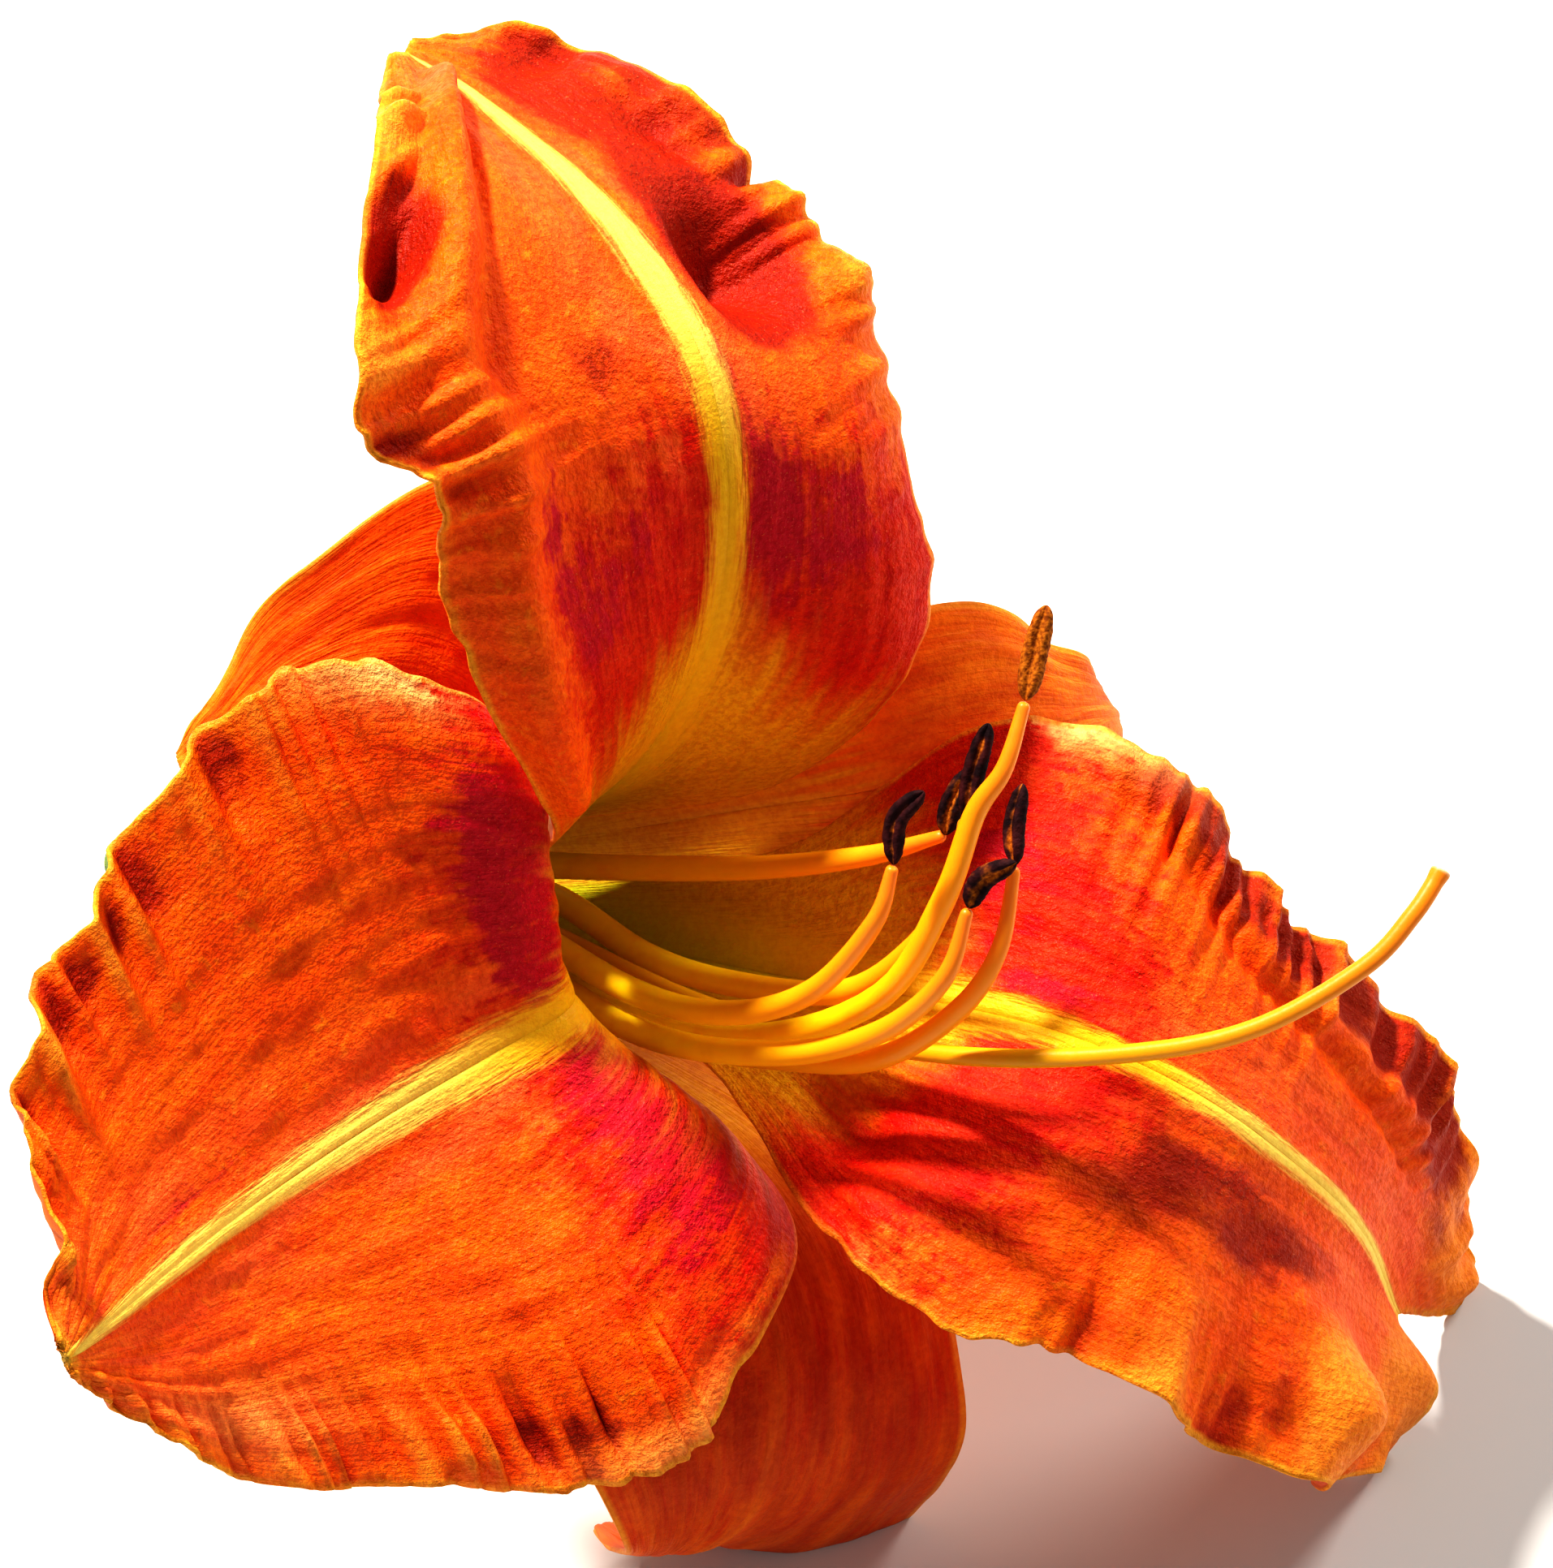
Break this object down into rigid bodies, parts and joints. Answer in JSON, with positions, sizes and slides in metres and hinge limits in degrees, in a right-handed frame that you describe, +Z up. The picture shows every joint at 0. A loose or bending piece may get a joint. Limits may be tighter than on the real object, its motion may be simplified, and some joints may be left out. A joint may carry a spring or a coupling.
{
  "type": "daylily flower",
  "caption": "Open daylily bloom with ruffled petals, recurved sepals, stamens and a long pistil, picked with its tube and a cut stub, lying on a surface.",
  "frame": {"origin": "on the surface that the bloom lies on, under the middle of its bounding box", "axes": "+Z up from the surface; the bloom opens towards +X and -Y, and its tube and cut stub point back to -X and +Y"},
  "size_m": [0.1192, 0.1018, 0.1041],
  "materials": {
    "petal": "satin, orange with a red eye, a yellow throat, midrib and margin",
    "sepal": "satin, plain orange red with fine parallel veins",
    "tube": "satin, yellow green",
    "stub": "satin green, pale on the cut",
    "filament": "smooth waxy yellow, orange towards the tip",
    "anther": "matt purple black with brown pollen",
    "pistil": "smooth waxy yellow, orange towards the pale stigma"
  },
  "bodies": {
    "root": {"petal_upper": "petal", "petal_left": "petal", "petal_right": "petal", "sepal_upper_left": "sepal", "sepal_upper_right": "sepal", "sepal_bottom": "sepal", "perianth_tube": "tube", "pedicel": "stub", "filament_1": "filament", "filament_2": "filament", "filament_3": "filament", "filament_4": "filament", "filament_5": "filament", "filament_6": "filament", "anther_1": "anther", "anther_2": "anther", "anther_3": "anther", "anther_4": "anther", "anther_5": "anther", "anther_6": "anther", "pistil": "pistil"}
  },
  "joints": []
}
